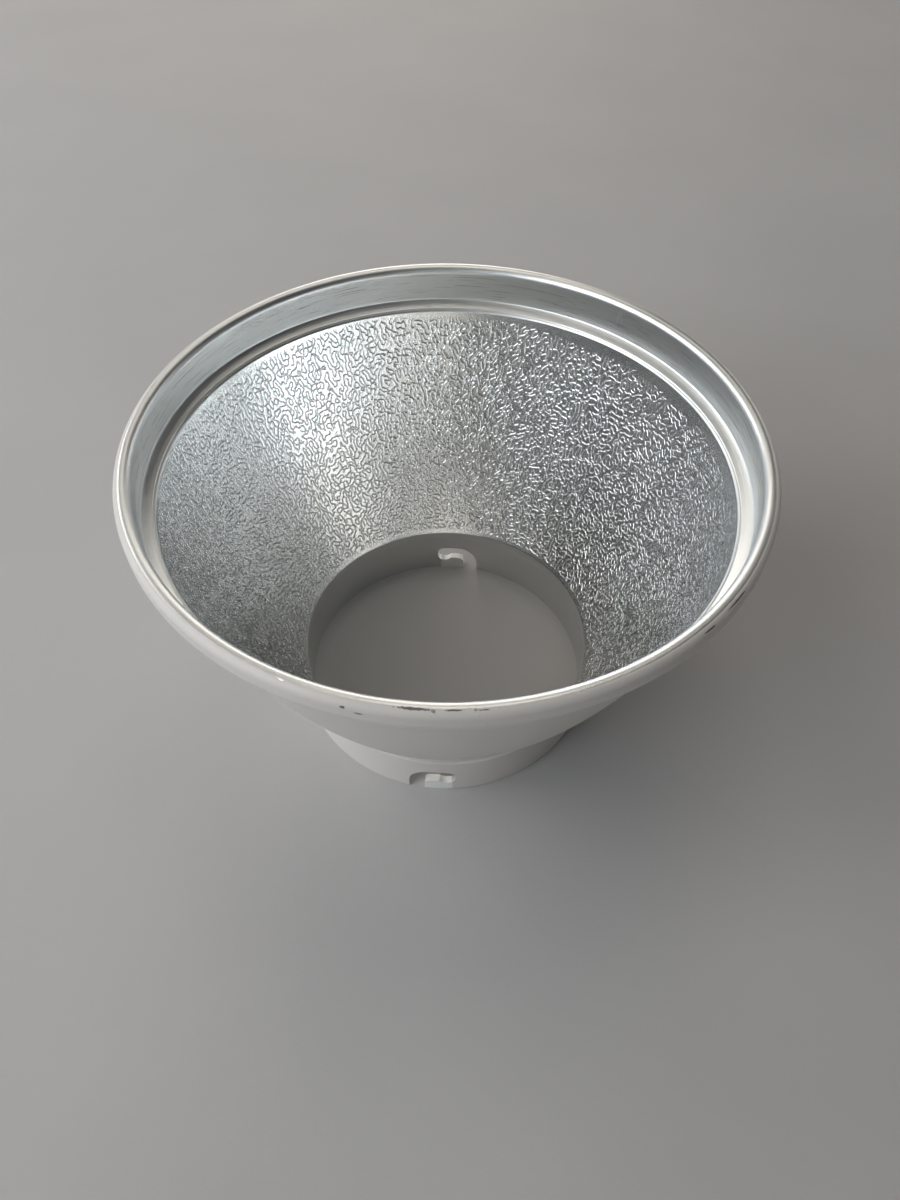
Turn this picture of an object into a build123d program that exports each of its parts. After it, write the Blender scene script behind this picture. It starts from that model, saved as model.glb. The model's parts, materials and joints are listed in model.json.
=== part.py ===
"""Studio flash reflector: a spun aluminium bowl fixed to a turned mounting collar.

Frame: millimetres, +Z up along the axis of the reflector, origin at the centre of the
collar's bottom edge, on which the reflector stands with its mouth upwards.
"""
from build123d import *
import math
import os

os.makedirs("parts", exist_ok=True)

# ---------------------------------------------------------------- driving dimensions
# Collar
bore_radius = 47.5            # clear bore through collar and neck
collar_wall = 2.5
collar_height = 16.5          # bottom edge to the top face outside the neck
seat_depth = 0.5              # step in the top face that locates the neck
top_edge_round = 0.6
foot_edge_round = 0.3

# Bowl sheet
sheet = 1.1                   # thickness of the spun sheet
neck_top = 19.0               # where the straight neck turns into the bowl
neck_bend = 2.0
ledge_inner_radius = 80.9     # top of the reflecting wall
ledge_inner_height = 93.5
wall_crown = 3.9              # how far the wall bulges out from a straight cone
ledge_bend = 0.9
band_radius = 84.6            # inside of the smooth band
band_bottom = 95.6
band_bend = 0.6

# Rolled rim
rim_radius = 89.0             # outside of the roll: a 178 mm (7 inch) reflector
rim_top = 107.2
roll_height = 6.8
curl_angle = 106              # how far the free edge curls back under the roll

# Bayonet slots: a pin enters from below, turns, and drops into the hook
slot_count = 2
entry_width = 5.2
entry_to_hook = 9.8           # centre to centre
channel_top = 10.7
channel_floor = 5.2
hook_radius = 2.7
hook_height = 6.7             # centre of the hook's round end
outer_corner = 7.0
tongue_corner = 2.0
crest_round = 1.0
hook_azimuth = 91.1           # first hook, counter-clockwise from +X

# ---------------------------------------------------------------- worked out from them
FULL_TURN = 360
HALF_TURN = 180
QUARTER_TURN = 90
cut_margin = 2.0              # how far a cut runs past the metal

collar_radius = bore_radius + collar_wall
seat_height = collar_height - seat_depth

roll_bend = (rim_radius - band_radius) / 2
roll_middle = roll_bend - sheet / 2
roll_shoulder = rim_top - roll_bend
roll_lower = rim_top - roll_height + roll_bend

entry_left = -(entry_to_hook + entry_width) / 2
entry_right = entry_left + entry_width
hook_middle = entry_to_hook / 2
half_span = math.degrees(hook_middle / (bore_radius + collar_wall / 2))
slot_azimuth = hook_azimuth - half_span
pocket_angle = HALF_TURN - math.degrees(math.asin((hook_height - channel_floor) / hook_radius))

# ---------------------------------------------------------------- bowl
# One sheet. The inner line runs up the neck and the wall, over the ledge and up the band,
# and is thickened outwards. The roll is the same sheet turned outwards over the top, down
# the skirt and back under, so it is hollow, with its free edge just clear of the band.
with BuildPart() as reflector_bowl:
    with BuildSketch(Plane.XZ):
        with BuildLine() as inner_line:
            neck = Line((bore_radius, seat_height), (bore_radius, neck_top))
            wall = SagittaArc(neck @ 1, (ledge_inner_radius, ledge_inner_height), -wall_crown)
            ledge = Line(wall @ 1, (band_radius, band_bottom))
            Line(ledge @ 1, (band_radius, roll_shoulder))
            fillet(inner_line.vertices().sort_by_distance(neck @ 1)[0], radius=neck_bend)
            fillet(inner_line.vertices().sort_by_distance(wall @ 1)[0], radius=ledge_bend)
            fillet(inner_line.vertices().sort_by_distance(ledge @ 1)[0], radius=band_bend)
            offset(amount=sheet, kind=Kind.INTERSECTION, side=Side.RIGHT)
        make_face()
        with BuildLine():
            roll_start = (band_radius + sheet / 2, roll_shoulder)
            crest = JernArc(roll_start, (0, 1), roll_middle, -HALF_TURN)
            skirt = Line(crest @ 1, (rim_radius - sheet / 2, roll_lower))
            JernArc(skirt @ 1, (0, -1), roll_middle, -curl_angle)
        trace(line_width=sheet)
    revolve(axis=Axis.Z)

reflector_bowl.part.label = "reflector_bowl"
export_step(reflector_bowl.part, "parts/reflector_bowl.step")

# ---------------------------------------------------------------- collar
# A turned ring. The step at the top of the bore seats the neck of the bowl, and the rest of
# the top face shows outside it as a narrow ledge.
with BuildPart() as neck_collar:
    with BuildSketch(Plane.XZ):
        with Locations((bore_radius, 0)):
            Rectangle(collar_wall, collar_height, align=(Align.MIN, Align.MIN))
        with Locations((bore_radius, collar_height)):
            Rectangle(sheet, seat_depth, align=(Align.MIN, Align.MAX), mode=Mode.SUBTRACT)
    revolve(axis=Axis.Z)
    rings = neck_collar.edges().filter_by(GeomType.CIRCLE)
    outer_rings = rings.filter_by(lambda ring: ring.radius == collar_radius).sort_by(Axis.Z)
    fillet(outer_rings[-1], radius=top_edge_round)
    fillet(outer_rings[0], radius=foot_edge_round)

    # Each slot is drawn looking at the collar from outside, with x counter-clockwise round
    # the wall: up the entry, round the wide corner, along to the hook and back over the
    # tongue. It is cut straight outwards from the axis.
    for slot in range(slot_count):
        azimuth = math.radians(slot_azimuth + slot * FULL_TURN / slot_count)
        outwards = (math.cos(azimuth), math.sin(azimuth), 0)
        around = (-math.sin(azimuth), math.cos(azimuth), 0)
        with BuildSketch(Plane((0, 0, 0), x_dir=around, z_dir=outwards)) as slot_shape:
            with BuildLine():
                rise = Line((entry_left, -cut_margin), (entry_left, channel_top - outer_corner))
                corner = JernArc(rise @ 1, (0, 1), outer_corner, -QUARTER_TURN)
                roof = Line(corner @ 1, (hook_middle, channel_top))
                hook_end = JernArc(roof @ 1, (1, 0), hook_radius, -QUARTER_TURN)
                drop = Line(hook_end @ 1, (hook_middle + hook_radius, hook_height))
                pocket = JernArc(drop @ 1, (0, -1), hook_radius, -pocket_angle)
                floor = Line(pocket @ 1, (entry_right + tongue_corner, channel_floor))
                tongue = JernArc(floor @ 1, (-1, 0), tongue_corner, QUARTER_TURN)
                fall = Line(tongue @ 1, (entry_right, -cut_margin))
                Line(fall @ 1, rise @ 0)
            make_face()
            fillet(slot_shape.vertices().sort_by_distance(pocket @ 1)[0], radius=crest_round)
        extrude(amount=collar_radius + cut_margin, mode=Mode.SUBTRACT)

neck_collar.part.label = "neck_collar"
export_step(neck_collar.part, "parts/neck_collar.step")
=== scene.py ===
# %% [markdown]
# # A spun aluminium flash reflector
# The CAD model gives a bowl spun from one aluminium sheet and the turned collar that carries it. This
# notebook gives both their looks: a pebbled bright inside, a rolled rim, a ledge with fine turning lines,
# and satin grey paint outside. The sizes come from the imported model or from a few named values, so the
# pieces land where the CAD says without any fitting.

# %% The frame and its sizes
import json
import math

import bpy
import numpy as np
from mathutils import Matrix, Vector


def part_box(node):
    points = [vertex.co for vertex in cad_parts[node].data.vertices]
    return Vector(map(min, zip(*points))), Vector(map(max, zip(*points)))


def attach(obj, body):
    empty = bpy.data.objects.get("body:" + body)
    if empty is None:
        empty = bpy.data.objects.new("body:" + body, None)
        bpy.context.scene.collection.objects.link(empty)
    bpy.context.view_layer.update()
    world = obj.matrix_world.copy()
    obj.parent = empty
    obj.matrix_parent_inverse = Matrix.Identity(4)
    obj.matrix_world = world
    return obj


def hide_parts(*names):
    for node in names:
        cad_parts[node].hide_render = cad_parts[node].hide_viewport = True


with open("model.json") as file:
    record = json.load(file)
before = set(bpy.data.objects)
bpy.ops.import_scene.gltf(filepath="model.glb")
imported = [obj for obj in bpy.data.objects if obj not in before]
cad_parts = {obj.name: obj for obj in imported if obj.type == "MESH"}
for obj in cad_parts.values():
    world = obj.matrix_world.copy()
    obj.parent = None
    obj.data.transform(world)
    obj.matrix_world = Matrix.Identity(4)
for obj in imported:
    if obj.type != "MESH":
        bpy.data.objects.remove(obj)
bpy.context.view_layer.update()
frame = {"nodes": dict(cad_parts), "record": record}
MM = 0.001
mounts = {mount["name"]: mount for mount in frame["record"]["mounts"]}
bowl_low, bowl_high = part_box("reflector_bowl")
collar_low, collar_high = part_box("neck_collar")
print("bowl", [round(x / MM, 2) for x in (*bowl_low, *bowl_high)])
print("collar", [round(x / MM, 2) for x in (*collar_low, *collar_high)])

# %% [markdown]
# ## Camera
# The reflector stands on its collar and is seen from above its front, so that the pebbled back wall, the
# bore and the outside of the rim all show at once. A wide lens close to the object makes the near rim
# larger than the far one. The camera is placed by a distance, a height and a pitch instead of a target
# object, because plain numbers are easy to compare and to repeat.

# %% Camera
CAMERA_PLACE = Vector((0.001125, -0.18958, 0.26791))
CAMERA_PITCH = math.radians(50.629)
CAMERA_ROLL = math.radians(0.719)
LENS_MM = 27.0
camera_data = bpy.data.cameras.new("camera")
camera_data.lens = LENS_MM
camera_data.sensor_width = 36.0
camera_data.clip_start = 0.01
camera = bpy.data.objects.new("camera", camera_data)
bpy.context.scene.collection.objects.link(camera)
tilt = Matrix.Rotation(math.pi / 2 - CAMERA_PITCH, 4, "X") @ Matrix.Rotation(CAMERA_ROLL, 4, "Z")
camera.matrix_world = Matrix.Translation(CAMERA_PLACE) @ tilt
bpy.context.scene.camera = camera
print("camera", round(CAMERA_PLACE.length, 3), "m from the foot of the collar")

# %% [markdown]
# ## Shader maths
# A finish is easier to read as a formula than as a drawing of nodes. `Wire` wraps one socket and adds a
# Math node for each operator, so that `1 - mask` works. `Finish` holds a material and has one method,
# `node`, that makes any other node: it takes the node's type, its settings and its inputs. Colours go
# through `mix` and vectors through `vector`, because a Math node would turn them grey.

# %% Wire and Finish
class Wire:
    """One output socket of a finish, used like a number."""

    def __init__(self, finish, socket):
        self.finish = finish
        self.socket = socket

    def output(self, name):
        """Another output of the same node."""
        return Wire(self.finish, self.socket.node.outputs[name])

    def __add__(self, other):
        return self.finish.math("ADD", self, other)

    def __radd__(self, other):
        return self.finish.math("ADD", other, self)

    def __sub__(self, other):
        return self.finish.math("SUBTRACT", self, other)

    def __rsub__(self, other):
        return self.finish.math("SUBTRACT", other, self)

    def __mul__(self, other):
        return self.finish.math("MULTIPLY", self, other)

    def __rmul__(self, other):
        return self.finish.math("MULTIPLY", other, self)

    def __truediv__(self, other):
        return self.finish.math("DIVIDE", self, other)

    def __rtruediv__(self, other):
        return self.finish.math("DIVIDE", other, self)


class Finish:
    """A material whose nodes are made by expressions."""

    def __init__(self, name):
        self.material = bpy.data.materials.new(name)
        self.material.use_nodes = True
        self.tree = self.material.node_tree
        self.tree.nodes.clear()

    def node(self, kind, settings=None, inputs=None, output=0):
        """Any node. Settings are set first, then the values or links of its inputs."""
        made = self.tree.nodes.new(kind)
        for name, value in (settings or {}).items():
            setattr(made, name, value)
        for key, value in (inputs or {}).items():
            if isinstance(value, Wire):
                self.tree.links.new(value.socket, made.inputs[key])
            else:
                made.inputs[key].default_value = value
        return Wire(self, made.outputs[output])

    def math(self, operation, *values):
        return self.node("ShaderNodeMath", {"operation": operation}, dict(enumerate(values)))

    def vector(self, operation, *values, output=0):
        settings = {"operation": operation}
        return self.node("ShaderNodeVectorMath", settings, dict(enumerate(values)), output)

    def mix(self, factor, low, high):
        """From the low colour at factor 0 to the high colour at factor 1."""
        settings = {"data_type": "RGBA", "clamp_factor": True}
        return self.node("ShaderNodeMix", settings, {0: factor, 6: low, 7: high}, 2)

    def step(self, value, low, high):
        """0 below low, 1 above high, and smooth between them."""
        settings = {"interpolation_type": "SMOOTHSTEP", "clamp": True}
        inputs = {"Value": value, "From Min": low, "From Max": high}
        return self.node("ShaderNodeMapRange", settings, inputs)

    def place(self):
        """Where a point of the surface lies, in millimetres in the frame."""
        metres = self.node("ShaderNodeTexCoord", output="Object")
        return self.node("ShaderNodeVectorMath", {"operation": "SCALE"}, {0: metres, "Scale": 1 / MM})

    def noise(self, where, scale, detail=2.0, roughness=0.5, distortion=0.0):
        inputs = {
            "Vector": where,
            "Scale": scale,
            "Detail": detail,
            "Roughness": roughness,
            "Distortion": distortion,
        }
        return self.node("ShaderNodeTexNoise", None, inputs, "Fac")

    def bump(self, height, distance, strength=1.0, under=None):
        inputs = {"Height": height, "Distance": distance, "Strength": strength}
        if under is not None:
            inputs["Normal"] = under
        return self.node("ShaderNodeBump", None, inputs, "Normal")

    def surface(self, inputs):
        """The Principled shader with these inputs, wired to the output."""
        shader = self.node("ShaderNodeBsdfPrincipled", None, inputs)
        out = self.tree.nodes.new("ShaderNodeOutputMaterial")
        self.tree.links.new(shader.socket, out.inputs["Surface"])
        print(self.material.name, "has", len(self.tree.nodes), "nodes")
        return self.material


def grey(value, warmth=0.0):
    """A grey colour, a little warmer for positive warmth and cooler for negative."""
    return (value * (1 + warmth), value, value * (1 - warmth), 1.0)


print("wires and finishes are ready")

# %% [markdown]
# ## Floor and light
# A metal bowl shows its room more than itself, so the room matters here. The floor is plain and pale. A
# row of soft panels at the left stands for a wide window, cooler at the front. Low panels at the back
# light the near wall of the bowl, one overhead shows in the ledge, and a weak one fills from the front.
# The right and the rest of the space overhead stay dark, so that the pebbles keep dark sides as well as
# bright ones.

# %% Floor
FLOOR_RADIUS = 1.25           # as far as the panels light it
FLOOR_CORNERS = 128
floor_mesh = bpy.data.meshes.new("floor")
turns = [number * 2 * math.pi / FLOOR_CORNERS for number in range(FLOOR_CORNERS)]
edge = [(FLOOR_RADIUS * math.cos(turn), FLOOR_RADIUS * math.sin(turn), 0) for turn in turns]
floor_mesh.from_pydata(edge, [], [tuple(range(FLOOR_CORNERS))])
floor = bpy.data.objects.new("floor", floor_mesh)
bpy.context.scene.collection.objects.link(floor)

floor_finish = Finish("pale_floor")
floor_place = floor_finish.place()
floor_cloud = floor_finish.noise(floor_place, 0.012, detail=3.0)
floor_grain = floor_finish.noise(floor_place, 0.9, detail=2.0)
floor_mesh.materials.append(floor_finish.surface({
    "Base Color": floor_finish.mix(floor_cloud, grey(0.42, 0.015), grey(0.47, 0.02)),
    "Roughness": 0.75,
    "Normal": floor_finish.bump(floor_grain, 0.00005),
}))
print("floor", 2 * FLOOR_RADIUS, "m wide")

# %% Lights
LIGHT_DISTANCE = 1.6
PANEL_SIZE = 0.75
COOL, WARM, NEUTRAL = (0.87, 0.92, 1.0), (1.0, 0.94, 0.86), (1.0, 0.99, 0.97)
# name, azimuth, elevation, power in watts, colour
PANELS = [
    ("window_front", 218, 28, 9.8, COOL),
    ("window_middle", 180, 28, 6.3, COOL),
    ("window_back", 144, 28, 5.0, NEUTRAL),
    ("window_top", 198, 50, 4.4, WARM),
    ("low_back_right", 45, 8, 2.4, NEUTRAL),
    ("low_back", 90, 10, 3.4, WARM),
    ("back_wall", 100, 28, 2.4, WARM),
    ("over_back", 85, 72, 3.0, WARM),
    ("front_fill", 280, 28, 0.5, NEUTRAL),
]


def panel(name, azimuth, elevation, power, colour):
    """A soft square light on a dome round the object. Azimuth 0 is +X and 90 is +Y."""
    turn = math.radians(azimuth)
    rise = math.radians(elevation)
    toward = Vector((math.cos(turn) * math.cos(rise), math.sin(turn) * math.cos(rise), math.sin(rise)))
    data = bpy.data.lights.new(name, "AREA")
    data.shape = "SQUARE"
    data.size = PANEL_SIZE
    data.energy = power
    data.color = colour
    light = bpy.data.objects.new(name, data)
    light.location = toward * LIGHT_DISTANCE + Vector((0, 0, bowl_high.z / 2))
    light.rotation_euler = (-toward).to_track_quat("-Z", "Y").to_euler()
    bpy.context.scene.collection.objects.link(light)


for row in PANELS:
    panel(*row)
print("panels", len(PANELS), "of", PANEL_SIZE, "m")

# %% [markdown]
# The room behind the panels is a plain gradient, pale just above the floor and dark overhead. A dome of one
# brightness would be simpler, but it would fill the dark sides of the pebbles.

# %% Room
HORIZON, OVERHEAD = 0.28, 0.03
HORIZON_END = 0.45            # sine of the elevation where the pale part ends
world = bpy.data.worlds.new("room")
world.use_nodes = True
world_nodes, world_links = world.node_tree.nodes, world.node_tree.links
background = world_nodes["Background"]
background.inputs["Color"].default_value = (0.96, 0.98, 1.0, 1.0)
direction = world_nodes.new("ShaderNodeTexCoord")
parts = world_nodes.new("ShaderNodeSeparateXYZ")
falloff = world_nodes.new("ShaderNodeMapRange")
falloff.interpolation_type = "SMOOTHSTEP"
for name, value in {"From Max": HORIZON_END, "To Min": HORIZON, "To Max": OVERHEAD}.items():
    falloff.inputs[name].default_value = value
world_links.new(direction.outputs["Generated"], parts.inputs["Vector"])
world_links.new(parts.outputs["Z"], falloff.inputs["Value"])
world_links.new(falloff.outputs["Result"], background.inputs["Strength"])
bpy.context.scene.world = world
bpy.context.scene.view_settings.view_transform = "Standard"
print("room", HORIZON, "at the floor and", OVERHEAD, "overhead")

# %% [markdown]
# ## The sheet in section
# The bowl is one sheet, so its section is one line with a thickness. The reflecting side is drawn first:
# up the neck, out along the bulged wall, over the ledge and up the band. The roll turns outwards over the
# top, down the skirt and back under. Each bend is a true arc, because a rounded edge catches a highlight
# where a sharp one stays dead.

# %% Driving values of the section
BORE_RADIUS = mounts["neck_bore"]["dims"]["r_mm"]
LEDGE_HEIGHT = mounts["accessory_ledge"]["pos_m"][2] / MM
RIM_RADIUS = bowl_high.x / MM
RIM_TOP = bowl_high.z / MM
SEAT_HEIGHT = bowl_low.z / MM
HAIR = 0.01                   # keeps the looks inside the CAD box
SHEET = 1.1
NECK_TOP = 19.0
NECK_BEND = 2.0
WALL_TOP = (80.9, 93.5)
WALL_CROWN = 3.9
LEDGE_BEND = 0.9
BAND_RADIUS = 84.6
BAND_BEND = 0.6
ROLL_HEIGHT = 6.8
CURL_ANGLE = math.radians(106)


def straight(start, end, spacing):
    """Points along a line, both ends included."""
    start, end = np.array(start, float), np.array(end, float)
    count = max(1, math.ceil(np.linalg.norm(end - start) / spacing))
    return start + (end - start) * np.linspace(0, 1, count + 1)[:, None]


def arc(centre, radius, first, last, spacing):
    """Points along an arc between two angles, both ends included."""
    count = max(2, math.ceil(abs(last - first) * radius / spacing))
    turn = np.linspace(first, last, count + 1)
    return np.array(centre) + radius * np.column_stack([np.cos(turn), np.sin(turn)])


def crowned(start, end, crown, spacing):
    """An arc from start to end that stands crown clear of the straight line, on its right."""
    start, end = np.array(start, float), np.array(end, float)
    chord = np.linalg.norm(end - start)
    radius = (chord ** 2 / 4 + crown ** 2) / (2 * crown)
    right = np.array([end[1] - start[1], start[0] - end[0]]) / chord
    centre = (start + end) / 2 + right * (crown - radius)
    first = math.atan2(*(start - centre)[::-1])
    last = math.atan2(*(end - centre)[::-1])
    return arc(centre, radius, first, last, spacing)


def trimmed(path, length):
    """A path with this much taken off its end."""
    while np.linalg.norm(path[-1] - path[-2]) <= length:
        length -= np.linalg.norm(path[-1] - path[-2])
        path = path[:-1]
    back = path[-2] - path[-1]
    end = path[-1] + back / np.linalg.norm(back) * length
    return np.vstack([path[:-1], end])


def bend(before, after, radius, spacing):
    """The two paths, cut back from their shared corner, and the arc that joins them."""
    into = (before[-1] - before[-2]) / np.linalg.norm(before[-1] - before[-2])
    out = (after[1] - after[0]) / np.linalg.norm(after[1] - after[0])
    turn = math.atan2(into[0] * out[1] - into[1] * out[0], into @ out)
    cut = radius * math.tan(abs(turn) / 2)
    before = trimmed(before, cut)
    after = trimmed(after[::-1], cut)[::-1]
    side = math.copysign(1, turn)
    centre = before[-1] + np.array([-into[1], into[0]]) * radius * side
    first = math.atan2(*(before[-1] - centre)[::-1])
    return before, arc(centre, radius, first, first + turn, spacing), after


print("section from radius", BORE_RADIUS, "to", round(RIM_RADIUS, 2), "mm")

# %% The reflecting side, from the neck to the roll
# spacing of the rows, in millimetres
FINE = 0.16                   # on bends
PEBBLE_ROW = 0.34             # up the pebbled wall
NECK_ROW, LEDGE_ROW, BAND_ROW = 0.4, 0.2, 0.6
ROLL_ROW, SKIRT_ROW, CURL_ROW = 0.2, 0.5, 0.3
ROLL_BEND = (RIM_RADIUS - HAIR - BAND_RADIUS) / 2
ROLL_SHOULDER = RIM_TOP - HAIR - ROLL_BEND
ROLL_FOOT = RIM_TOP - HAIR - ROLL_HEIGHT + ROLL_BEND

neck = straight((BORE_RADIUS, SEAT_HEIGHT), (BORE_RADIUS, NECK_TOP), NECK_ROW)
wall = crowned((BORE_RADIUS, NECK_TOP), WALL_TOP, WALL_CROWN, PEBBLE_ROW)
ledge = straight(WALL_TOP, (BAND_RADIUS, LEDGE_HEIGHT), LEDGE_ROW)
band = straight((BAND_RADIUS, LEDGE_HEIGHT), (BAND_RADIUS, ROLL_SHOULDER), BAND_ROW)
neck, neck_turn, wall = bend(neck, wall, NECK_BEND, FINE)
wall, wall_turn, ledge = bend(wall, ledge, LEDGE_BEND, FINE)
ledge, band_turn, band = bend(ledge, band, BAND_BEND, FINE)

roll_centre = (BAND_RADIUS + ROLL_BEND, ROLL_SHOULDER)
roll_inner = arc(roll_centre, ROLL_BEND, math.pi, math.pi / 2, ROLL_ROW)
roll_outer = arc(roll_centre, ROLL_BEND, math.pi / 2, 0, ROLL_ROW)
skirt = straight(roll_outer[-1], (RIM_RADIUS - HAIR, ROLL_FOOT), SKIRT_ROW)
curl = arc((BAND_RADIUS + ROLL_BEND, ROLL_FOOT), ROLL_BEND, 0, -CURL_ANGLE, CURL_ROW)


def offset(path, distance):
    """A path moved to its right-hand side."""
    along = np.gradient(path, axis=0)
    along /= np.linalg.norm(along, axis=1)[:, None]
    return path + np.column_stack([along[:, 1], -along[:, 0]]) * distance


FREE_EDGE_GAP = 0.35          # the inside of the roll stops this far short of its free edge
OUTSIDE_STOP = 0.5            # the outside of the bowl stops this far below the roll
edge_in = trimmed(curl, FREE_EDGE_GAP)
inside_of_roll = offset(np.vstack([roll_inner, roll_outer[1:], skirt[1:], edge_in[1:]]), SHEET)[::-1]
outer_lines = [neck, neck_turn, wall[::8], wall_turn[::2], ledge[::3], band_turn[::2], band[::4]]
outside = offset(np.vstack([outer_lines[0]] + [line[1:] for line in outer_lines[1:]]), SHEET)[::-1]
outside = outside[outside[:, 1] < ROLL_SHOULDER - OUTSIDE_STOP]
outside[-1] = (BORE_RADIUS + SHEET, SEAT_HEIGHT)
print("wall rows", len(wall), "roll rows", len(roll_inner) + len(roll_outer))

# %% [markdown]
# ## Groove and hollow of the ledge
# The tool that turned the ledge left it very slightly hollow, with a narrow groove at its inner edge. A
# grid or a gel lies on it. Both are a few hundredths of a millimetre to a few tenths, but they break the
# highlight into the thin bright and dark rings that make a spun ledge look real, so they are shape here.

# %% Shape the ledge
LEDGE_HOLLOW = 0.14
GROOVE_DEPTH = 0.16
GROOVE_WIDTH = 0.16
GROOVE_PLACE = 0.34           # from the bend at the top of the wall
SHAPED_ROW = 0.11             # closer rows, to carry the groove

ledge = straight(ledge[0], ledge[-1], SHAPED_ROW)
along_ledge = np.linalg.norm(ledge - ledge[0], axis=1)
share = along_ledge / along_ledge[-1]
hollow = LEDGE_HOLLOW * 4 * share * (1 - share)
groove = GROOVE_DEPTH * np.exp(-((along_ledge - GROOVE_PLACE) / GROOVE_WIDTH) ** 2)
ledge = offset(ledge, 1) * (hollow + groove)[:, None] + ledge * (1 - hollow - groove)[:, None]
print("ledge rows", len(ledge), "deepest", round(float((hollow + groove).max()), 2), "mm")

# %% [markdown]
# ## The pebbled relief
# The sheet was embossed before it was spun, with short wormy grooves between smooth islands. Many plane
# waves of about one length but random directions add up to a field whose zero lines wander like a
# labyrinth, and the field divided by its own slope is the distance to the nearest of these lines. Two such
# fields take turns, which gives the lines their ends and forks. The mesh carries the soft part of each
# groove, and the distance stays on its points as an attribute, so that the finish can cut the crisp middle
# of the very same groove. The random numbers are seeded, so every run gives the same bowl.

# %% Relief fields
GROOVE_SOFT_DEPTH = 0.050
GROOVE_SOFT_HALF = 0.26       # half width of the part that the mesh carries
SWELL = 0.003                 # how far the islands themselves rise and fall
MAIN_WAVE = 2.10
SECOND_WAVE = 1.90
SWITCH_WAVE = 4.2
SWELL_WAVE = 3.0
STRIP_WAVE = 30.0
WAVES = 40
WAVE_SPREAD = 0.15            # how much the waves of one field differ in length
MAIN_SEED, SECOND_SEED, SWITCH_SEED, STRIP_SEED, SWELL_SEED = range(11, 16)
SHARE_EDGE = (-0.30, 0.05)    # where one kind of line gives way to the other
STEEPNESS_FLOOR = 0.4         # keeps the distance finite where the field is level
STRETCH = np.array([1.0, 1.0, 0.70])   # the grooves run a little longer up the wall


def labyrinth(points, wave, seed):
    """A smooth random field of about 1 in size over points in millimetres, and its slope."""
    random = np.random.default_rng(seed)
    toward = random.normal(size=(WAVES, 3))
    toward /= np.linalg.norm(toward, axis=1)[:, None]
    spread = random.uniform(1 - WAVE_SPREAD, 1 + WAVE_SPREAD, WAVES)[:, None]
    toward *= 2 * math.pi / wave * spread * STRETCH
    phase = random.uniform(0, 2 * math.pi, WAVES)
    size = math.sqrt(WAVES / 2)
    angle = points @ toward.T + phase
    return np.sin(angle).sum(axis=1) / size, np.cos(angle) @ toward / size


def line_distance(points, normals, wave, seed):
    """Signed distance in millimetres to the nearest line of a labyrinth."""
    field, slope = labyrinth(points, wave, seed)
    slope -= (slope * normals).sum(axis=1)[:, None] * normals
    steepness = np.linalg.norm(slope, axis=1)
    return field / np.hypot(steepness, STEEPNESS_FLOOR * steepness.mean())


def smooth_step(values, low, high):
    share = np.clip((values - low) / (high - low), 0, 1)
    return share * share * (3 - 2 * share)


STRIP_WIDTH = 1.3             # plain strip at the top of the wall, in millimetres
STRIP_EXTRA = 2.0             # and how much wider it is round STRIP_AZIMUTH
STRIP_UNEVEN = 0.5
STRIP_AZIMUTH = math.radians(35)
STRIP_SPAN = (0.2, 0.9)       # cosine of the angle away from it where the widening starts and is full
STRIP_EDGE = 1.0              # half of the stretch over which the relief fades out
NECK_STRIP = (0.4, 2.6)       # the relief fades in over this stretch above the neck


def embossing(points, normals, up_wall, wall_length):
    """The fields of one row: distance to each kind of line, and how strong each kind is there."""
    switch = labyrinth(points, SWITCH_WAVE, SWITCH_SEED)[0]
    azimuth = np.arctan2(points[:, 1], points[:, 0])
    plain_strip = STRIP_WIDTH + STRIP_EXTRA * smooth_step(np.cos(azimuth - STRIP_AZIMUTH), *STRIP_SPAN)
    plain_strip += STRIP_UNEVEN * labyrinth(points, STRIP_WAVE, STRIP_SEED)[0]
    fade = smooth_step(wall_length - up_wall, plain_strip - STRIP_EDGE, plain_strip + STRIP_EDGE)
    fade *= smooth_step(np.full(len(points), up_wall), *NECK_STRIP)
    return {
        "main_line": line_distance(points, normals, MAIN_WAVE, MAIN_SEED),
        "second_line": line_distance(points, normals, SECOND_WAVE, SECOND_SEED),
        "main_share": smooth_step(switch, *SHARE_EDGE) * fade,
        "second_share": smooth_step(-switch, *SHARE_EDGE) * fade,
        "swell": labyrinth(points, SWELL_WAVE, SWELL_SEED)[0] * fade,
    }


def soft_relief(fields):
    """How deep the mesh is pressed in at each point, in millimetres."""
    main = np.exp(-(fields["main_line"] / GROOVE_SOFT_HALF) ** 2) * fields["main_share"]
    second = np.exp(-(fields["second_line"] / GROOVE_SOFT_HALF) ** 2) * fields["second_share"]
    return GROOVE_SOFT_DEPTH * np.maximum(main, second) + SWELL * fields["swell"]


print("relief from waves of", MAIN_WAVE, "and", SECOND_WAVE, "mm")

# %% [markdown]
# ## Turning the section into a bowl
# The section is closed into a loop and turned round the axis, row by row. The pebbled wall has twice as
# many columns as the rest, because only the relief needs them, and one row of small triangles joins the
# two spacings. The result is one closed skin with no loose faces.

# %% Lathe
COLUMNS = 720
PEBBLED, SPUN, PAINTED, POLISHED = range(4)


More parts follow.
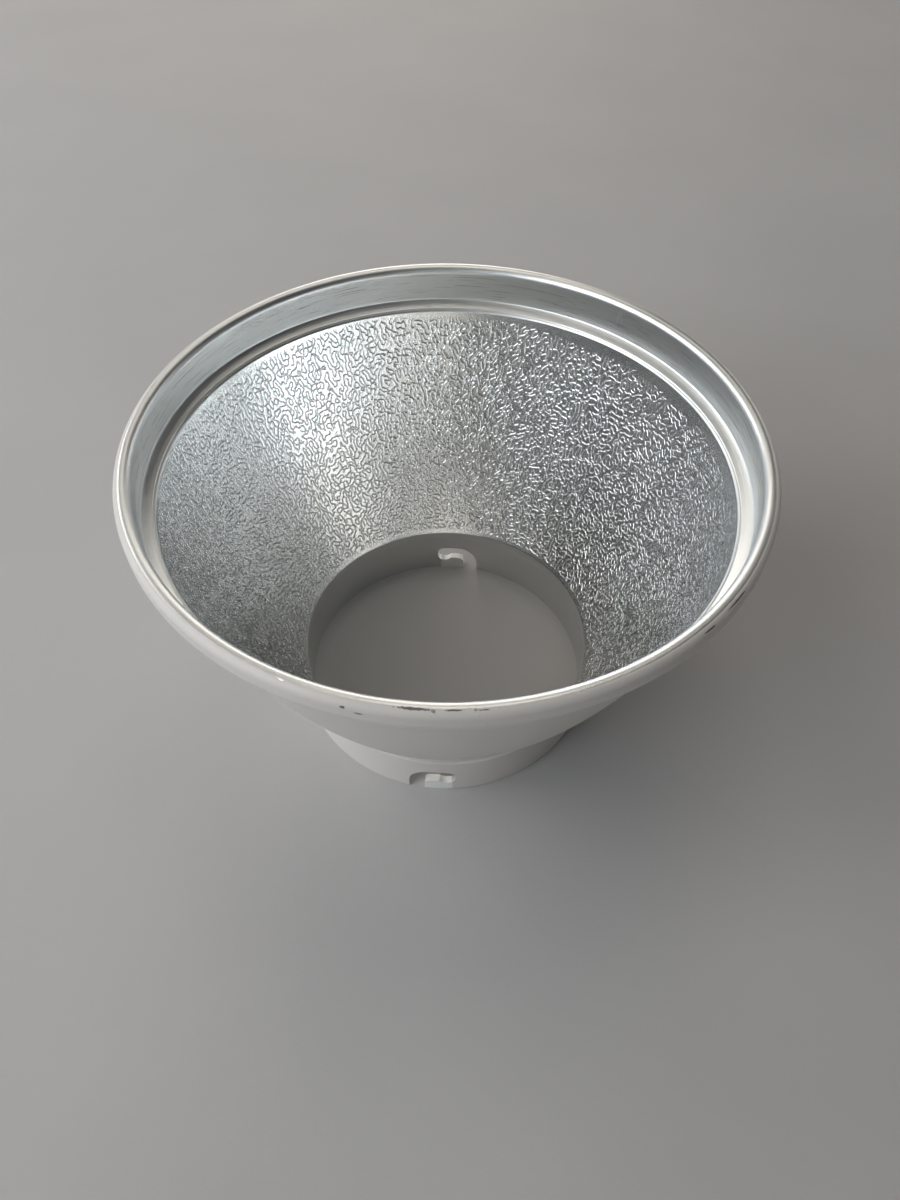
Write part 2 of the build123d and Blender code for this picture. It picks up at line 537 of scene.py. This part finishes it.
class Skin:
    """Rows of points round the axis and the faces between them."""

    def __init__(self):
        self.points, self.faces, self.finishes, self.starts = [], [], [], []
        self.size = 0

    def row(self, points):
        self.points.append(points)
        self.starts.append((self.size, len(points)))
        self.size += len(points)
        return self.starts[-1]

    def add(self, faces, finish):
        self.faces.append(faces)
        self.finishes.append(np.full(len(faces), finish))

    def join(self, below, above, finish):
        """Faces between two rows. One may have twice the other's columns."""
        (low, low_count), (high, high_count) = below, above
        if low_count == high_count:
            here = np.arange(low_count)
            ahead = (here + 1) % low_count
            quads = [low + here, high + here, high + ahead, low + ahead]
            self.add(np.column_stack(quads), finish)
            return
        fine, coarse = (below, above) if low_count > high_count else (above, below)
        here = np.arange(coarse[1])
        ahead = (here + 1) % coarse[1]
        start, middle, end = 2 * here, 2 * here + 1, 2 * ahead
        fans = [
            (fine[0] + start, coarse[0] + here, fine[0] + middle),
            (fine[0] + middle, coarse[0] + here, coarse[0] + ahead),
            (fine[0] + middle, coarse[0] + ahead, fine[0] + end),
        ]
        for fan in fans:
            fan = fan if fine is below else fan[::-1]
            self.add(np.column_stack([*fan, np.full(len(here), -1)]), finish)

    def mesh(self, name, sharp_rows):
        points = np.vstack(self.points) * MM
        faces = np.vstack(self.faces)
        finishes = np.concatenate(self.finishes)
        lists = [[int(v) for v in face if v >= 0] for face in faces]
        mesh = bpy.data.meshes.new(name)
        mesh.from_pydata(points.tolist(), [], lists)
        mesh.polygons.foreach_set("material_index", finishes.astype(np.int32))
        mesh.polygons.foreach_set("use_smooth", np.ones(len(faces), bool))
        row_of = np.zeros(len(points), int)
        for number, (start, count) in enumerate(self.starts):
            row_of[start:start + count] = number
        ends = np.zeros(len(mesh.edges) * 2, np.int32)
        mesh.edges.foreach_get("vertices", ends)
        first, last = row_of[ends.reshape(-1, 2)].T
        sharp = (first == last) & np.isin(first, sharp_rows)
        marks = mesh.attributes.new("sharp_edge", "BOOLEAN", "EDGE")
        marks.data.foreach_set("value", sharp)
        mesh.validate()
        return mesh


def ring(radius, height, columns):
    """Points of one row, in millimetres."""
    turn = np.arange(columns) * 2 * math.pi / columns
    up = np.full(columns, height)
    return np.column_stack([radius * np.cos(turn), radius * np.sin(turn), up])


print("one column every", 360 / COLUMNS, "degrees")

# %% Bowl
sections = [
    (neck, POLISHED),
    (neck_turn, POLISHED),
    (wall, PEBBLED),
    (wall_turn, SPUN),
    (ledge, SPUN),
    (band_turn, SPUN),
    (band, SPUN),
    (roll_inner, SPUN),
    (roll_outer, PAINTED),
    (skirt, PAINTED),
    (curl, PAINTED),
    (inside_of_roll, PAINTED),
    (outside, PAINTED),
]
wall_normal = offset(wall, 1) - wall
wall_place = np.concatenate([[0], np.cumsum(np.linalg.norm(np.diff(wall, axis=0), axis=1))])
bowl_skin = Skin()
FIELD_NAMES = ("main_line", "second_line", "main_share", "second_share")
bowl_fields = {name: [] for name in FIELD_NAMES}
SAME_PLACE = 1e-6
sharp_rows = []
last_end = None
for line, finish in sections:
    if last_end is not None and np.linalg.norm(line[0] - last_end) < SAME_PLACE:
        line = line[1:]
        if finish == PEBBLED:
            wall_normal, wall_place = wall_normal[1:], wall_place[1:]
    elif last_end is not None:
        sharp_rows += [len(bowl_skin.starts) - 1, len(bowl_skin.starts)]
    for number, (radius, height) in enumerate(line):
        points = ring(radius, height, COLUMNS * (2 if finish == PEBBLED else 1))
        fields = {name: np.zeros(len(points)) for name in FIELD_NAMES}
        if finish == PEBBLED:
            into_metal = ring(*wall_normal[number], len(points))
            fields = embossing(points, into_metal, wall_place[number], wall_place[-1])
            points = points + into_metal * soft_relief(fields)[:, None]
        for name in FIELD_NAMES:
            bowl_fields[name].append(fields[name])
        before = bowl_skin.starts[-1] if bowl_skin.starts else None
        made = bowl_skin.row(points)
        if before is not None:
            bowl_skin.join(before, made, finish)
    last_end = line[-1]
sharp_rows += [0, len(bowl_skin.starts) - 1]
bowl_skin.join(bowl_skin.starts[-1], bowl_skin.starts[0], PAINTED)
bowl_mesh = bowl_skin.mesh("bowl", sharp_rows)
for name in FIELD_NAMES:
    attribute = bowl_mesh.attributes.new(name, "FLOAT", "POINT")
    attribute.data.foreach_set("value", np.concatenate(bowl_fields[name]).astype(np.float32))
bowl = bpy.data.objects.new("bowl", bowl_mesh)
bpy.context.scene.collection.objects.link(bowl)
print("bowl", len(bowl_mesh.vertices), "points", len(bowl_mesh.polygons), "faces")

# %% [markdown]
# ## Bright pebbled inside
# The islands are smooth bare metal and act as dull mirrors. The colour is a little greyer at the
# bottom of their grooves. Cloudy changes in roughness keep one island from looking like the next.

# %% Pebbled finish
GROOVE_HALF = 0.15            # half width of the crisp part, in millimetres
CRISP_DEPTH = 0.11 * MM
GRAIN_DEPTH = 0.01 * MM
WALL_METAL_LOW, WALL_METAL_HIGH = (0.79, 0.81, 0.81, 1.0), (0.86, 0.875, 0.865, 1.0)
GROOVE_GREYING = 0.35                   # how much greyer the colour is at the bottom of a groove


def crisp_line(finish, distance, share):
    """1 in the middle of a groove and 0 beside it."""
    far = finish.node("ShaderNodeAttribute", {"attribute_name": distance}, output="Fac") / GROOVE_HALF
    here = finish.node("ShaderNodeAttribute", {"attribute_name": share}, output="Fac")
    return finish.math("EXPONENT", 0 - far * far) * here


pebbled = Finish("pebbled_aluminium")
where = pebbled.place()
main_groove = crisp_line(pebbled, "main_line", "main_share")
second_groove = crisp_line(pebbled, "second_line", "second_share")
groove = pebbled.math("MAXIMUM", main_groove, second_groove)
cloud = pebbled.noise(where, 0.035, detail=3.0)
mottle = pebbled.noise(where, 0.5, detail=3.0)
grain = pebbled.noise(where, 6.0, detail=2.0)
metal = pebbled.mix(cloud, WALL_METAL_LOW, WALL_METAL_HIGH)
pressed = pebbled.bump(1 - groove, CRISP_DEPTH)
# the base colour is made greyer at the bottom of each groove
bowl_mesh.materials.append(pebbled.surface({
    "Base Color": pebbled.mix(groove * GROOVE_GREYING, metal, grey(0.55, 0.01)),
    "Metallic": 1.0,
    "Roughness": 0.16 + mottle * 0.04 + cloud * 0.06,
    "Normal": pebbled.bump(grain, GRAIN_DEPTH, under=pressed),
}))

# %% [markdown]
# ## Spun bright metal
# The ledge, the band and the inner half of the roll were burnished on the lathe. Fine lines run round
# them. The noise is stretched round the axis: its first two coordinates are the radius and the height,
# and the third follows the azimuth slowly, so each line fades in and out along its way.

# %% Spun finish
def round_axis(finish, where):
    """Radius and height of a point in millimetres, and its azimuth from -pi to pi."""
    parts = finish.node("ShaderNodeSeparateXYZ", None, {0: where}, "X")
    y = parts.output("Y")
    flat = finish.node("ShaderNodeCombineXYZ", None, {0: parts, 1: y})
    radius = finish.vector("LENGTH", flat, output="Value")
    return radius, parts.output("Z"), finish.math("ARCTAN2", y, parts)


def turned_lines(finish, radius, height, turn, across, around):
    """Coordinates for lines that run round the axis."""
    inputs = {0: radius * across, 1: height * across, 2: turn * around}
    return finish.node("ShaderNodeCombineXYZ", None, inputs)


TOOL_LINES = {"across": 2.4, "around": 1.6}      # how fast the noise changes each way
spun = Finish("spun_aluminium")
where = spun.place()
radius, height, turn = round_axis(spun, where)
lines_at = turned_lines(spun, radius, height, turn, **TOOL_LINES)
lines = spun.noise(lines_at, 1.0, detail=4.0, roughness=0.65)
cloud = spun.noise(where, 0.06, detail=3.0)
print("tool lines", TOOL_LINES)

# %% [markdown]
# The band was pressed flat from embossed sheet, so some of the old relief still glints at the back left.
# Long dark streaks run round it where the tool rubbed, and a few short scratches cross it at the right.

# %% Traces on the band
# azimuth, half width and soft edge, in degrees
RELIEF_LEFT = (125, 14, 12)
SCRATCHED = (50, 4, 4)
BAND_FADE_IN = (0.3, 1.2)     # above the ledge, in millimetres
BAND_FADE_OUT = 0.6           # below the roll
OLD_RELIEF_HALF = 0.05
STREAK_EDGE, SCRATCH_EDGE = (0.60, 0.68), (0.69, 0.74)
TOOL_DEPTH = 0.07 * MM
BAND_METAL_LOW, BAND_METAL_HIGH = (0.77, 0.79, 0.785, 1.0), (0.85, 0.865, 0.855, 1.0)


def near_azimuth(finish, turn, azimuth, half_width, soft):
    """1 within half_width degrees of an azimuth, and 0 from soft degrees beyond it."""
    away = finish.math("ABSOLUTE", turn - math.radians(azimuth))
    return 1 - finish.step(away, math.radians(half_width), math.radians(half_width + soft))


on_band = spun.step(height, *(LEDGE_HEIGHT + rise for rise in BAND_FADE_IN))
on_band *= 1 - spun.step(height, ROLL_SHOULDER - BAND_FADE_OUT, ROLL_SHOULDER)
old_relief = spun.math("ABSOLUTE", spun.noise(where, 0.62, detail=1.0) - 0.5)
old_relief = 1 - spun.step(old_relief, 0.0, OLD_RELIEF_HALF)
relief_here = on_band * near_azimuth(spun, turn, *RELIEF_LEFT)
streak_at = turned_lines(spun, radius, height, turn, across=3.2, around=5.0)
streaks = spun.step(spun.noise(streak_at, 1.0, detail=2.0, roughness=0.6), *STREAK_EDGE) * on_band
scratch_at = turned_lines(spun, radius, height, turn, across=0.16, around=130.0)
scratches = spun.step(spun.noise(scratch_at, 1.0, detail=1.0), *SCRATCH_EDGE)
scratches *= on_band * near_azimuth(spun, turn, *SCRATCHED)
metal = spun.mix(cloud, BAND_METAL_LOW, BAND_METAL_HIGH)
worn_metal = spun.mix(streaks * 0.75, metal, grey(0.26, 0.02))
relief_height = lines * 0.8 - old_relief * relief_here * 0.9 - scratches * 0.8
bowl_mesh.materials.append(spun.surface({
    "Base Color": spun.mix(scratches * 0.5, worn_metal, grey(0.92, 0.0)),
    "Metallic": 1.0,
    "Roughness": 0.24 + lines * 0.14 + cloud * 0.10 + streaks * 0.15,
    "Anisotropic": 0.45,
    "Normal": spun.bump(relief_height, TOOL_DEPTH),
}))

# %% [markdown]
# ## Satin grey paint
# The outside is sprayed a light warm grey. The coat has the faint orange peel of spray paint. On top of
# the roll it stops at a fairly clean line, and what lies inside that line is bare metal.

# %% Painted finish
PAINT_EDGE = 87.4             # radius on the roll where the paint stops
PAINT_BUMP = 0.04 * MM        # height of the orange peel
PAINT_LOW, PAINT_HIGH = (0.640, 0.612, 0.570, 1.0), (0.695, 0.667, 0.625, 1.0)
BARE_METAL = (0.82, 0.83, 0.815, 1.0)
SCUFF_BROWN = (0.055, 0.045, 0.038, 1.0)
SPECK_EDGE = (0.72, 0.78)


def painted_surface(finish, where, bare, scuffed):
    """Grey paint, with bare metal where bare is 1 and dark scuffs where scuffed is 1."""
    cloud = finish.noise(where, 0.05, detail=3.0)
    peel = finish.noise(where, 1.6, detail=2.0)
    specks = finish.step(finish.noise(where, 1.1, detail=1.0), *SPECK_EDGE)
    paint = finish.mix(cloud, PAINT_LOW, PAINT_HIGH)
    paint = finish.mix(specks * 0.25, paint, grey(0.25, 0.04))
    skin = finish.mix(bare, paint, BARE_METAL)
    return {
        "Base Color": finish.mix(scuffed, skin, SCUFF_BROWN),
        "Metallic": bare * (1 - scuffed),
        "Roughness": (0.42 + cloud * 0.12) * (1 - bare) + (0.32 + cloud * 0.10) * bare,
        "Normal": finish.bump(peel - scuffed, PAINT_BUMP),
    }


print("paint stops at radius", PAINT_EDGE, "mm on the roll")

# %% [markdown]
# The rim has knocked against things. Each mark is an uneven oval on the roll, given by its azimuth, the
# radius and height of its middle, and half its length and width. Dark ones are rubbed dirt, bright ones
# are chips down to the metal.

# %% Marks on the rim
DARK_MARKS = [
    (265.7, 87.5, 107.0, 4.4, 0.42),
    (271.4, 87.6, 107.0, 2.6, 0.26),
    (275.6, 87.7, 106.9, 2.0, 0.20),
    (256.0, 88.9, 105.7, 0.9, 0.45),
    (258.3, 89.0, 104.6, 1.2, 0.30),
    (233.2, 88.9, 101.3, 0.8, 0.60),
    (313.0, 88.4, 106.4, 3.0, 0.30),
    (320.5, 88.2, 106.6, 5.0, 0.28),
]
BRIGHT_MARKS = [
    (268.6, 87.7, 106.9, 0.7, 0.65),
    (246.5, 87.5, 107.0, 1.0, 0.35),
    (274.5, 87.6, 107.0, 0.5, 0.35),
    (317.0, 88.6, 106.2, 1.6, 0.22),
    (196.0, 88.2, 106.6, 1.0, 0.22),
]
MARK_RAGGED = 2.2             # how uneven the outline of a mark is
MARK_EDGE = (1.4, 2.0)


def marks(finish, radius, height, turn, ragged, rows):
    """1 inside any of the marks. The turn runs from -180 to 180 degrees, so large azimuths wrap."""
    total = None
    for azimuth, mark_radius, mark_height, half_length, half_width in rows:
        around = azimuth - 360 if azimuth > 180 else azimuth
        along = (turn - math.radians(around)) * (mark_radius / half_length)
        out = (radius - mark_radius) * (1 / half_width)
        up = (height - mark_height) * (1 / half_width)
        size = along * along + out * out + up * up
        inside = 1 - finish.step(size + ragged * MARK_RAGGED, *MARK_EDGE)
        total = inside if total is None else finish.math("MAXIMUM", total, inside)
    return total


paint = Finish("grey_paint")
where = paint.place()
radius, height, turn = round_axis(paint, where)
ragged = paint.noise(where, 1.9, detail=2.0, roughness=0.7)
top = paint.step(height, ROLL_SHOULDER, ROLL_SHOULDER + 0.3)
bare = top * (1 - paint.step(radius + ragged * 0.3, PAINT_EDGE + 0.10, PAINT_EDGE + 0.22))
chips = marks(paint, radius, height, turn, ragged, BRIGHT_MARKS)
scuffs = marks(paint, radius, height, turn, ragged, DARK_MARKS)
bare = paint.math("MAXIMUM", bare, chips)
bowl_mesh.materials.append(paint.surface(painted_surface(paint, where, bare, scuffs * 0.85)))
print("marks", len(DARK_MARKS), "dark and", len(BRIGHT_MARKS), "bright")

# %% [markdown]
# ## Polished neck
# The neck is the smoothest part of the inside, nearly a mirror, with faint cloudy smears.

# %% Neck finish
NECK_METAL_LOW, NECK_METAL_HIGH = (0.75, 0.765, 0.76, 1.0), (0.82, 0.835, 0.825, 1.0)
polished = Finish("polished_aluminium")
where = polished.place()
smear = polished.noise(where, 0.15, detail=3.0)
bowl_mesh.materials.append(polished.surface({
    "Base Color": polished.mix(smear, NECK_METAL_LOW, NECK_METAL_HIGH),
    "Metallic": 1.0,
    "Roughness": 0.10 + smear * 0.12,
}))
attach(bowl, "root")
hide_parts("reflector_bowl")

# %% [markdown]
# ## Collar
# The collar is a turned ring with two bayonet slots, and the CAD shape already has them. It keeps that
# shape and only gets a finish: paint outside and on its top edge, a turned bore, and a rougher cut face
# in the slots, where the cutter went through after painting. Radius and height tell the three apart.
# The tongue beside each slot is rubbed bare outside as well, because the pins of the flash scrape it.

# %% Where the collar is painted
COLLAR_RADIUS = collar_high.x / MM
TOP_EDGE = collar_high.z / MM
TONGUE_AZIMUTHS = (87.4, -92.6)   # middle of the tongue beside the back and the front slot, in degrees
TONGUE_HALF_ANGLE = 4.6
TONGUE_FADE = 2.2
TONGUE_TOP = 6.2              # height below which the tongue is rubbed
TONGUE_RAGGED = 1.1
RUBBED_EDGE = (0.35, 0.65)
collar_paint = Finish("collar_paint")
where = collar_paint.place()
radius, height, turn = round_axis(collar_paint, where)
lines_at = turned_lines(collar_paint, radius, height, turn, **TOOL_LINES)
outside_wall = collar_paint.step(radius, COLLAR_RADIUS - 0.14, COLLAR_RADIUS - 0.08)
top_edge = collar_paint.step(height, TOP_EDGE - 0.7, TOP_EDGE - 0.6)
clear_of_bore = collar_paint.step(radius, BORE_RADIUS + 0.4, BORE_RADIUS + 0.5)
painted = collar_paint.math("MAXIMUM", outside_wall, top_edge * clear_of_bore)
back, front = (
    near_azimuth(collar_paint, turn, azimuth, TONGUE_HALF_ANGLE, TONGUE_FADE)
    for azimuth in TONGUE_AZIMUTHS
)
rubbed = back + front
ragged = collar_paint.noise(where, 1.2, detail=2.0, roughness=0.7)
rubbed = collar_paint.step(rubbed + (ragged - 0.5) * TONGUE_RAGGED, *RUBBED_EDGE)
rubbed = rubbed * (1 - collar_paint.step(height + ragged * 1.2, TONGUE_TOP, TONGUE_TOP + 0.5))
painted = painted * (1 - rubbed)
cut_face = collar_paint.step(radius, BORE_RADIUS + 0.10, BORE_RADIUS + 0.18) * (1 - painted)
print("tongues rubbed at", TONGUE_AZIMUTHS, "degrees")

# %% Collar finish
SCRAPED_DULL = 0.6            # scraped metal scatters light more than it mirrors
BORE_METAL_LOW, BORE_METAL_HIGH = (0.72, 0.73, 0.72, 1.0), (0.82, 0.83, 0.82, 1.0)
CUT_METAL = (0.95, 0.95, 0.93, 1.0)
turning = collar_paint.noise(lines_at, 1.0, detail=3.0, roughness=0.6)
cloud = collar_paint.noise(where, 0.05, detail=3.0)
peel = collar_paint.noise(where, 1.6, detail=2.0)
coat = collar_paint.mix(cloud, PAINT_LOW, PAINT_HIGH)
bore = collar_paint.mix(turning, BORE_METAL_LOW, BORE_METAL_HIGH)
bare_metal = collar_paint.mix(cut_face, bore, CUT_METAL)
bare_rough = 0.16 + turning * 0.14 + cut_face * 0.30
collar = frame["nodes"]["neck_collar"]
collar.data.materials.clear()
collar.data.materials.append(collar_paint.surface({
    "Base Color": collar_paint.mix(painted, bare_metal, coat),
    "Metallic": (1 - painted) * (1 - rubbed * SCRAPED_DULL),
    "Roughness": bare_rough * (1 - painted) + (0.38 + cloud * 0.12) * painted,
    "Normal": collar_paint.bump(peel * painted + turning * (1 - painted) * 0.8, PAINT_BUMP),
}))
